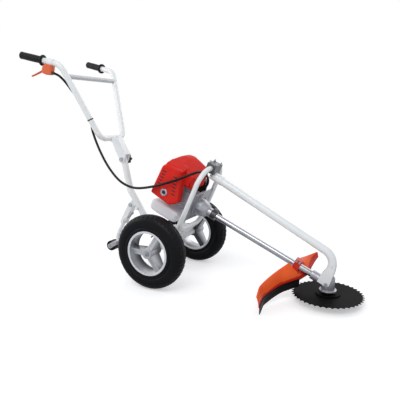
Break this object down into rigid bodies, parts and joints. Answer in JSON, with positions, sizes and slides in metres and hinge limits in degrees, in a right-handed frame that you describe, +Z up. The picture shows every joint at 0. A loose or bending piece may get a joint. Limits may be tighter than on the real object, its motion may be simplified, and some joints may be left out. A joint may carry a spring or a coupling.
{
  "type": "wheeled brush cutter",
  "caption": "Walk-behind wheeled brush cutter with a small engine on a hoop frame, a sloping drive tube, a saw blade, a guard and a folding handlebar.",
  "frame": {"origin": "on the ground, in the middle of the length and width of the whole machine", "axes": "+X forward to the blade, +Y the machine's left, +Z up"},
  "size_m": [1.56, 0.538, 1.0366],
  "materials": {
    "white_paint": "gloss",
    "tyre": "satin",
    "rim": "satin",
    "red_cover": "gloss",
    "orange": "gloss",
    "tank": "satin",
    "bright_tube": "gloss",
    "steel": "satin",
    "alloy": "cast",
    "dark_metal": "satin",
    "black_rubber": "matte",
    "black_plastic": "matte"
  },
  "bodies": {
    "frame": {"hoop": "white_paint", "engine_plate": "steel", "spine": "white_paint", "axle_carrier": "white_paint", "axle": "steel", "wheel_nuts": "steel", "drive_tube": "bright_tube", "tube_collar": "dark_metal", "shaft_bushes": "steel", "gear_head": "alloy", "head_cover": "steel", "support_tube": "white_paint", "clamp_base": "dark_metal", "clamp_cap": "dark_metal", "bolts": "steel", "guard_bracket": "dark_metal", "guard": "orange", "guard_skirt": "black_rubber", "clutch_housing": "alloy", "crankcase": "alloy", "engine_cylinder": "alloy", "muffler": "steel", "muffler_cover": "red_cover", "top_cover": "red_cover", "starter_cover": "black_plastic", "fuel_tank": "tank", "carburettor": "alloy", "air_cleaner": "black_plastic", "tail_spring": "steel"},
    "right_wheel": {"right_rim": "rim", "right_tyre": "tyre"},
    "left_wheel": {"left_rim": "rim", "left_tyre": "tyre"},
    "handlebar": {"handlebar": "white_paint", "handle_bracket": "white_paint", "pivot_bolt": "steel", "grips": "black_rubber", "throttle_housing": "orange", "cable_ties": "black_plastic", "throttle_cable": "black_rubber"},
    "star_knob": {"star_knob": "black_plastic"},
    "throttle_lever": {"throttle_lever": "orange"},
    "tail_leg": {"tail_arm": "white_paint", "tail_tube": "white_paint"},
    "tail_castor": {"tail_fork": "dark_metal", "tail_axle": "steel"},
    "tail_wheel": {"tail_wheel": "black_rubber"},
    "drive_shaft": {"drive_shaft": "steel", "clutch_drum": "steel", "bevel_pinion": "steel"},
    "spindle": {"spindle": "steel", "bevel_gear": "steel", "upper_flange": "dark_metal", "blade": "dark_metal", "support_cup": "steel", "spindle_nut": "steel"},
    "crankshaft": {"crankshaft": "steel"},
    "starter_grip": {"starter_grip": "black_plastic"},
    "choke_lever": {"choke_lever": "black_plastic"},
    "fuel_cap": {"fuel_cap": "black_plastic"}
  },
  "joints": [
    {"name": "right_wheel_spin", "type": "hinge", "parent": "frame", "child": "right_wheel", "pos_m": [-0.08301, -0.214, 0.165], "axis": [0, 1, 0], "continuous": true},
    {"name": "left_wheel_spin", "type": "hinge", "parent": "frame", "child": "left_wheel", "pos_m": [-0.08301, 0.214, 0.165], "axis": [0, 1, 0], "continuous": true},
    {"name": "handlebar_fold", "type": "hinge", "parent": "frame", "child": "handlebar", "pos_m": [-0.37501, 0, 0.535], "axis": [0, 1, 0], "range_deg": [-15, 80], "deforming": ["throttle_cable"]},
    {"name": "star_knob_turn", "type": "hinge", "parent": "handlebar", "child": "star_knob", "pos_m": [-0.37501, 0.028, 0.535], "axis": [0, 1, 0], "continuous": true},
    {"name": "throttle_squeeze", "type": "hinge", "parent": "handlebar", "child": "throttle_lever", "pos_m": [-0.64651, -0.20419, 0.95044], "axis": [-0.1896, 0.9819, 0], "range_deg": [0, 25], "stiffness_Nm_per_rad": 0.3, "springref_deg": -11.46},
    {"name": "tail_leg_fold", "type": "hinge", "parent": "frame", "child": "tail_leg", "pos_m": [-0.33001, 0, 0.313], "axis": [0, 1, 0], "range_deg": [0, 70], "stiffness_Nm_per_rad": 2, "springref_deg": -22.92, "deforming": ["tail_spring"]},
    {"name": "tail_castor_swivel", "type": "hinge", "parent": "tail_leg", "child": "tail_castor", "pos_m": [-0.42801, 0, 0.12], "axis": [0, 0, 1], "continuous": true},
    {"name": "tail_wheel_spin", "type": "hinge", "parent": "tail_castor", "child": "tail_wheel", "pos_m": [-0.46001, 0, 0.085], "axis": [0, 1, 0], "continuous": true},
    {"name": "spindle_spin", "type": "hinge", "parent": "frame", "child": "spindle", "pos_m": [0.63499, 0, 0.04], "axis": [0, 0, 1], "continuous": true},
    {"name": "drive_shaft_spin", "type": "hinge", "parent": "frame", "child": "drive_shaft", "pos_m": [0.34694, 0, 0.20345], "axis": [0.9121, 0, -0.4099], "continuous": true},
    {"name": "crankshaft_spin", "type": "hinge", "parent": "frame", "child": "crankshaft", "pos_m": [-0.01791, 0, 0.36742], "axis": [0.9121, 0, -0.4099], "continuous": true},
    {"name": "starter_pull", "type": "slide", "parent": "frame", "child": "starter_grip", "axis": [0, 1, 0], "range_m": [0, 0.5], "stiffness_N_per_m": 20, "springref_m": -0.1},
    {"name": "choke_turn", "type": "hinge", "parent": "frame", "child": "choke_lever", "pos_m": [0.02813, 0.09, 0.40155], "axis": [-0.9121, 0, 0.4099], "range_deg": [0, 60]},
    {"name": "fuel_cap_turn", "type": "hinge", "parent": "frame", "child": "fuel_cap", "pos_m": [-0.13571, 0.085, 0.33704], "axis": [0, 1, 0], "continuous": true}
  ],
  "couplings": [
    {"joint": "drive_shaft_spin", "follows": "spindle_spin", "ratio": -1.3571}
  ]
}
